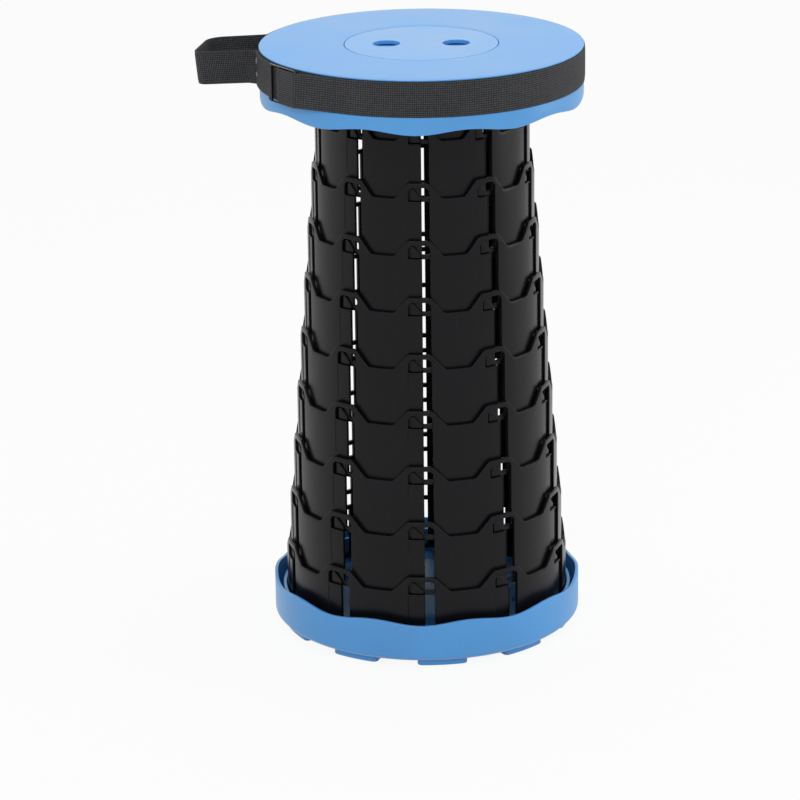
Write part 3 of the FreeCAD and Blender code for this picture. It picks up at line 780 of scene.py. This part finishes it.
def band(name, line, low, width, thickness, closed=False, step=0.325 * MM, lean=lambda s: (0.0, 0.0)):
    made, lengths, sides, total = even_line(line, step, closed)
    rib = total / round(total / RIB) if closed else RIB
    half = thickness / 2
    rows = 8
    section = [(1, r / rows) for r in range(rows + 1)]
    section += [(-1, r / rows) for r in range(rows, -1, -1)]
    work = bmesh.new()
    weave = work.loops.layers.uv.new("weave")
    rings = []
    for here, length, side in zip(made, lengths, sides):
        swell = 0.5 + 0.5 * math.cos(math.tau * length / rib)
        ring = []
        for face, share in section:
            edge = abs(share - 0.5) * 2
            deep = half * (0.80 + 0.20 * swell if edge < 0.8 else 0.93)
            if edge > 0.999:
                deep = half * 0.55
            across = here + side * face * deep + Vector(lean(length)) * (1 - share)
            vert = work.verts.new((across.x, across.y, low + width * share))
            ring.append((vert, (length, share * width)))
        rings.append(ring)
    count = len(section)
    for i in range(len(rings) if closed else len(rings) - 1):
        one, two = rings[i], rings[(i + 1) % len(rings)]
        for k in range(count):
            m = (k + 1) % count
            quad = (one[k], two[k], two[m], one[m])
            face = work.faces.new([q[0] for q in quad])
            for loop, (vert, uv) in zip(face.loops, quad):
                u = uv[0]
                if closed and i == len(rings) - 1 and u == 0:
                    u = total
                loop[weave].uv = (u, uv[1])
    if not closed:
        for ring in (rings[0], rings[-1]):
            face = work.faces.new([v for v, uv in ring])
            for loop, (vert, uv) in zip(face.loops, ring):
                loop[weave].uv = uv
    bmesh.ops.recalc_face_normals(work, faces=work.faces)
    piece = add_piece(name, mesh_from(work, name), tape, 60)
    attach(piece, "seat")
    return piece, total


# %% [markdown]
# ## Belt round the seat
# The belt lies in the groove all the way round, so its centre line is a circle.

# %% Belt
TAPE_WIDTH = 25.6 * MM
TAPE = 1.6 * MM
TAPE_LOW = SEAT_TOP - 1.2 * MM - TAPE_WIDTH
BELT_INSIDE = GROOVE + 0.3 * MM
BELT_OUTSIDE = BELT_INSIDE + TAPE


def on_circle(radius, degrees):
    """A point round the seat, here with a positive angle turning to the left."""
    a = math.radians(degrees)
    return Vector((-radius * math.sin(a), -radius * math.cos(a)))


belt_line = [on_circle(BELT_INSIDE + TAPE / 2, 360 - i) for i in range(360)]
belt, belt_length = band("webbing_belt", belt_line, TAPE_LOW, TAPE_WIDTH, TAPE, closed=True)
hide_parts("strap_belt")
print("belt is", round(belt_length, 3), "m long with", len(belt.data.polygons), "faces")

# %% [markdown]
# ## Handle loop
# The handle starts under the slider, follows the belt to the left, folds away from the
# rim into a flat loop, and comes back to the rim behind it. Its line is made of tangents
# and arcs: first round the seat, then two nearly straight strands and a rounded end.

# %% Handle
LAYER_GAP = 0.3 * MM
HANDLE_RADIUS = BELT_OUTSIDE + LAYER_GAP + TAPE / 2
START_TURN, FOLD_TURN, HOOK_TURN, END_TURN = 47, 83, 111, 128
LOOP_LENGTH = 146 * MM


def direction(degrees):
    a = math.radians(degrees)
    return Vector((-math.cos(a), math.sin(a)))


fold = on_circle(HANDLE_RADIUS, FOLD_TURN) + direction(FOLD_TURN) * 3 * MM
hook = on_circle(HANDLE_RADIUS, HOOK_TURN) - direction(HOOK_TURN) * 4 * MM
handle_line = [on_circle(HANDLE_RADIUS, d) for d in range(START_TURN, FOLD_TURN)]
handle_line += rounded([
    (*on_circle(HANDLE_RADIUS, FOLD_TURN), 0),
    (fold.x, fold.y, 2.4 * MM),
    (-167.2 * MM, fold.y - 5 * MM, 5 * MM),
    (-158.2 * MM, hook.y - 8 * MM, 17 * MM),
    (hook.x, hook.y, 6 * MM),
    (*on_circle(HANDLE_RADIUS, HOOK_TURN), 0)], closed=False, steps=10)
handle_line += [on_circle(HANDLE_RADIUS, d) for d in range(HOOK_TURN + 1, END_TURN + 1)]
LEAN_START = math.radians(FOLD_TURN - START_TURN) * HANDLE_RADIUS


def handle_lean(length):
    """The loop's lower edge hangs a little back and towards the seat."""
    into = min(1.0, max(0.0, (length - LEAN_START) / (12 * MM)))
    out = min(1.0, max(0.0, (LEAN_START + LOOP_LENGTH - length) / (20 * MM)))
    share = min(into, out)
    share = share * share * (3 - 2 * share)
    return 2.0 * MM * share, 5.0 * MM * share


handle, handle_length = band("webbing_handle", handle_line, TAPE_LOW, TAPE_WIDTH, TAPE, lean=handle_lean)
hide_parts("strap_handle")
print("handle is", round(handle_length, 3), "m long with", len(handle.data.polygons), "faces")

# %% [markdown]
# ## Stitches
# Two long stitches of pale thread hold the fold beside the slider. Each is a flat grain,
# half sunk in the tape.

# %% Stitches
STITCH = 0.8 * MM
STITCH_TURN = 79
stitches_shape = bmesh.new()
stitches_shape.loops.layers.uv.verify()
foot = on_circle(HANDLE_RADIUS + TAPE / 2 + 0.1 * MM, STITCH_TURN)
for centre, half in ((20.2 * MM, 2.4 * MM), (10.0 * MM, 2.1 * MM)):
    ball = bmesh.ops.create_uvsphere(stitches_shape, u_segments=12, v_segments=10, radius=1, calc_uvs=True)
    for vertex in ball["verts"]:
        x, y, z = vertex.co
        vertex.co = (foot.x + x * STITCH, foot.y + y * STITCH, TAPE_LOW + centre + z * half)
stitches = add_piece("fold_stitches", mesh_from(stitches_shape, "fold_stitches"), stitch_thread)
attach(stitches, "seat")
print("stitches have", len(stitches.data.polygons), "faces")

# %% [markdown]
# ## Slider
# A flat three-bar slider sets the belt's length. It is a plate with two tall windows and
# rounded edges, standing upright against the belt.

# %% Slider and tail
LAYER = BELT_OUTSIDE + LAYER_GAP + TAPE + LAYER_GAP
SLIDER_TURN = math.radians(54)
SLIDER_WALL = 1.8 * MM
WINDOW_INNER, WINDOW_OUTER, WINDOW_RISE = 2.1 * MM, 12.8 * MM, 12.95 * MM
TAIL_IN, TAIL_OUT, TAIL_END = 123.1, 125.9, 110.6
slider_out = Vector((-math.sin(SLIDER_TURN), -math.cos(SLIDER_TURN), 0))
slider_along = Vector((math.cos(SLIDER_TURN), -math.sin(SLIDER_TURN), 0))


def box_outline(x0, x1, y0, y1, radius):
    return rounded([(x0, y0, radius), (x1, y0, radius), (x1, y1, radius), (x0, y1, radius)])


slider_mesh = plate_mesh("slider", [
    box_outline(-17 * MM, 17 * MM, -13.8 * MM, 13.8 * MM, 2.5 * MM),
    box_outline(-WINDOW_OUTER, -WINDOW_INNER, -WINDOW_RISE, WINDOW_RISE, 0.8 * MM),
    box_outline(WINDOW_INNER, WINDOW_OUTER, -WINDOW_RISE, WINDOW_RISE, 0.8 * MM)], SLIDER_WALL, 0.4 * MM, 4)
for v in slider_mesh.vertices:
    x, y, z = v.co
    out = slider_out * (LAYER + SLIDER_WALL / 2 + z)
    v.co = slider_along * x + out + Vector((0, 0, TAPE_LOW + TAPE_WIDTH / 2 + y))
slider = add_piece("slider_frame", slider_mesh, slider_black)
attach(slider, "seat")
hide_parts("slider_buckle")


def beside_slider(x, out):
    """Millimetres along the slider and out from the axis, as a point seen from above."""
    flat = slider_along * x * MM + slider_out * out * MM
    return flat.x, flat.y


tail_line = rounded([
    (*beside_slider(-3.2, TAIL_IN), 0),
    (*beside_slider(-3.2, TAIL_OUT), 1.2 * MM),
    (*beside_slider(17.3, TAIL_OUT), 6.0 * MM),
    (*beside_slider(47.3, TAIL_END), 0)], closed=False, steps=8)
tail, tail_length = band("webbing_tail", tail_line, TAPE_LOW, TAPE_WIDTH, TAPE)
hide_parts("strap_tail")
print("tail is", round(tail_length, 3), "m long")

# %% [markdown]
# ## Base tray
# The base repeats the seat's wave on its upper edge, so that the two meet when the stool
# is folded. Inside stand the collar that holds the last ring and the housing of the
# plug. Curved feet and small key notches lie on its underside.

# %% Base shell
FOOT = 5.5 * MM
FLOOR = FOOT + PLATE
OUTER_RING = ring_radius(RINGS)
HOLD = OUTER_RING + 0.8 * MM
COLLAR_TOP = 27 * MM
WAVE_FOOT = 18 * MM
RECESS = FOOT + 1 * MM
base_section = filled(rounded([
    (0, FLOOR + 11 * MM, 0),
    (CUP, FLOOR + 11 * MM, 1.0 * MM),
    (CUP, FLOOR, 1.0 * MM),
    (HOLD, FLOOR, 0.2 * MM),
    (HOLD, COLLAR_TOP, 0.4 * MM),
    (HOLD + WALL, COLLAR_TOP, 0.4 * MM),
    (HOLD + WALL, FLOOR, 0.5 * MM),
    (BASE_RADIUS - SHELL_WALL, FLOOR, 0.5 * MM),
    (BASE_RADIUS - SHELL_WALL, RIM_LOW, 0.7 * MM),
    (BASE_RADIUS, RIM_LOW, 0.7 * MM),
    (BASE_RADIUS, FOOT + 3 * MM, 2.5 * MM),
    (BASE_RADIUS - 3 * MM, FOOT, 2.0 * MM),
    (PLUG_HOLE + 14 * MM, FOOT, 1.0 * MM),
    (PLUG_HOLE + 11 * MM, RECESS, 1.0 * MM),
    (PLUG_HOLE, RECESS, 0.3 * MM),
    (PLUG_HOLE, FLOOR + 1 * MM, 0.2 * MM),
    (WELL, FLOOR + 1 * MM, 0.3 * MM),
    (WELL, FLOOR + 8 * MM, 1.0 * MM),
    (0, FLOOR + 8 * MM, 0),
]), 8 * MM)


def rim_share(x, z):
    """The wave fades out half-way down the rim and never reaches the collar."""
    if x < HOLD + WALL + 1 * MM:
        return 0.0
    return min(1.0, max(0.0, (z - WAVE_FOOT) / (RIM_LOW - WAVE_FOOT)))


base_shell = lathe("base_shell", base_section, shell_blue, rim_share)

# %% [markdown]
# ## Windows and notches cut into the base
# The last ring's teeth click into windows of the collar, and ten key notches sit in the
# floor. The cutters are repeated round the axis first, and one exact boolean then cuts
# them all, so that every edge stays sharp where the mould has a sharp edge.

# %% Base cuts
def cut(piece, cutter):
    boolean = piece.modifiers.new("cut", "BOOLEAN")
    boolean.operation = "DIFFERENCE"
    boolean.solver = "EXACT"
    boolean.object = cutter
    finished(piece.name, piece)
    bpy.data.objects.remove(cutter)
    soften(piece.data, CUT_EDGE)


def block(low, high):
    work = bmesh.new()
    bmesh.ops.create_cube(work, size=1)
    for v in work.verts:
        v.co = Vector(((low[i] + high[i]) / 2 + v.co[i] * (high[i] - low[i]) for i in range(3)))
    return mesh_from(work, "block")


gate_left = math.sin(math.radians(WINDOW_LEFT)) * OUTER_RING
gate_right = math.sin(math.radians(STRIP_EDGE)) * OUTER_RING
tooth_low = STACK_FLOOR + TOOTH_LOW
gate = block((gate_left, -HOLD - 3.5 * MM, tooth_low - 0.3 * MM),
             (gate_right, -HOLD + 0.4 * MM, tooth_low + TOOTH_HEIGHT + 0.3 * MM))
gates = round_axis(add_piece("gate_cutter", gate, shell_blue), shell_blue, start=-PATTERN)
cut(base_shell, gates)


def keyhole():
    half, neck = 1.7 * MM, 0.6 * MM
    end, mouth, bend, head = (-y * MM for y in (113.1, 112.4, 111.8, 109.3))
    hole = rounded([(-neck, end, 0), (neck, end, 0), (neck, mouth, 0.2 * MM), (half, bend, 1.3 * MM),
                    (half, head, 1.5 * MM), (-half, head, 1.5 * MM), (-half, bend, 1.3 * MM),
                    (-neck, mouth, 0.2 * MM)])
    mesh = plate_mesh("keyhole", [hole], 8 * MM, 0.001 * MM, 0)
    for v in mesh.vertices:
        v.co.z += FOOT
    return mesh


FOOT_TURN = math.radians(6)
holes = round_axis(add_piece("keyhole_cutter", keyhole(), shell_blue), shell_blue, start=FOOT_TURN + CELL / 2)
cut(base_shell, holes)
print(base_shell.name, len(base_shell.data.polygons), "faces after the cuts")

# %% [markdown]
# ## Feet and ribs of the base
# The ten feet are low pads, curved like the rim, with rounded ends and soft edges. Ten
# flat ribs on the floor inside carry the stack of rings.

# %% Feet and ribs
FOOT_MIDDLE, FOOT_WIDTH, FOOT_THICK, FOOT_PARTS = 105.5 * MM, 11.0 * MM, 7.0 * MM, 8


def foot_mesh():
    end, side = math.radians(10) * FOOT_MIDDLE, FOOT_WIDTH / 2
    outline = box_outline(-end, end, -side, side, 3.5 * MM)
    work = work_on(plate_mesh("foot", [outline], FOOT_THICK, 0.9 * MM, 3))
    split_columns(work, [end * k / FOOT_PARTS for k in range(1 - FOOT_PARTS, FOOT_PARTS)])
    for v in work.verts:
        v.co = around(FOOT_MIDDLE - v.co.y, v.co.x / FOOT_MIDDLE, v.co.z + FOOT_THICK / 2)
    mesh = mesh_from(work, "foot")
    mesh.flip_normals()
    return mesh


feet = round_axis(add_piece("base_feet", foot_mesh(), shell_blue), shell_blue, start=FOOT_TURN)
RIB_START, RIB_END, RIB_LOW, RIB_TOP = 66 * MM, HOLD + 1 * MM, 8 * MM, 11.5 * MM
stack_rib = rib_mesh([(RIB_START, RIB_LOW, 0), (RIB_END, RIB_LOW, 0), (RIB_END, RIB_TOP, 0),
                      (RIB_START, RIB_TOP, 0.8 * MM)], 2.4 * MM, 0.3 * MM)
stack_ribs = round_axis(add_piece("base_ribs", stack_rib, shell_blue), shell_blue, start=CELL / 2 - PATTERN)
for piece in (base_shell, feet, stack_ribs):
    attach(piece, "base")
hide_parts("base_tray")
print("feet", len(feet.data.polygons), "faces")

# %% [markdown]
# ## Stage and light
# The photograph has a white background and very soft light. A wide low lamp behind the
# stool makes the pale sheen on the seat top, one above lights the upper edges, one in
# front lights the skirt, and one on each side lights the sides of the rings.
# The floor shows almost white to the camera and still keeps a faint shadow.

# %% Floor
def seen_rays(tree):
    """One for camera, glossy and transmission rays, which all should see the backdrop."""
    path = node(tree, "ShaderNodeLightPath")
    first = node(tree, "ShaderNodeMath", {0: path.outputs["Is Camera Ray"], 1: path.outputs["Is Glossy Ray"]},
                 operation="MAXIMUM")
    both = node(tree, "ShaderNodeMath", {0: first.outputs[0], 1: path.outputs["Is Transmission Ray"]},
                operation="MAXIMUM")
    return both.outputs[0]


def stage_material(name, white_share):
    material, tree, shader = new_material(name)
    tree.nodes.remove(shader)
    matt = node(tree, "ShaderNodeBsdfDiffuse", {}, {"Color": (0.82, 0.82, 0.82, 1)})
    glow = node(tree, "ShaderNodeEmission", {}, {"Color": (1, 1, 1, 1), "Strength": 1.0})
    share = node(tree, "ShaderNodeMath", {0: seen_rays(tree)}, {1: white_share}, operation="MULTIPLY")
    mixed = node(tree, "ShaderNodeMixShader", {0: share.outputs[0], 1: matt.outputs[0], 2: glow.outputs[0]})
    tree.links.new(mixed.outputs[0], tree.nodes["Material Output"].inputs["Surface"])
    return material


floor_mesh = bpy.data.meshes.new("studio_floor")
floor_mesh.from_pydata([(-6, -6, 0), (6, -6, 0), (6, 6, 0), (-6, 6, 0)], [], [(0, 1, 2, 3)])
floor = new_object("studio_floor", floor_mesh)
floor_mesh.materials.append(stage_material("studio_white", 0.92))

# %% World and lamps
world = bpy.data.worlds.new("studio")
world.use_nodes = True
world_tree = world.node_tree
backdrop = world_tree.nodes["Background"]
backdrop.inputs["Color"].default_value = (1, 1, 1, 1)
backdrop.inputs["Strength"].default_value = 0.45
white = node(world_tree, "ShaderNodeBackground", {}, {"Color": (1, 1, 1, 1), "Strength": 1.0})
sky = node(world_tree, "ShaderNodeMixShader", {0: seen_rays(world_tree), 1: backdrop.outputs[0],
                                               2: white.outputs[0]})
world_tree.links.new(sky.outputs[0], world_tree.nodes["World Output"].inputs["Surface"])
bpy.context.scene.world = world


def softbox(name, place, aim, width, height, power):
    lamp = bpy.data.lights.new(name, "AREA")
    lamp.shape = "RECTANGLE"
    lamp.size, lamp.size_y, lamp.energy = width, height, power
    holder = new_object(name, lamp)
    away = Vector(aim) - Vector(place)
    holder.matrix_world = Matrix.Translation(place) @ away.to_track_quat("-Z", "Y").to_matrix().to_4x4()


softbox("top_lamp", (0.1, 0.5, 2.4), (0, 0, 0.3), 1.2, 1.0, 14)
softbox("back_lamp", (0, 3.2, 1.5), (0, 0, 0.4), 3.0, 1.6, 5)
softbox("front_lamp", (-0.3, -2.2, 1.7), (0, 0, 0.25), 1.6, 1.2, 22)
softbox("left_lamp", (-1.6, 0.1, 0.8), (0, 0, 0.25), 0.5, 1.6, 2.5)
softbox("right_lamp", (1.6, 0.1, 0.8), (0, 0, 0.25), 0.5, 1.6, 8)
bpy.context.scene.view_settings.view_transform = "Standard"
print("five lamps and a white world")
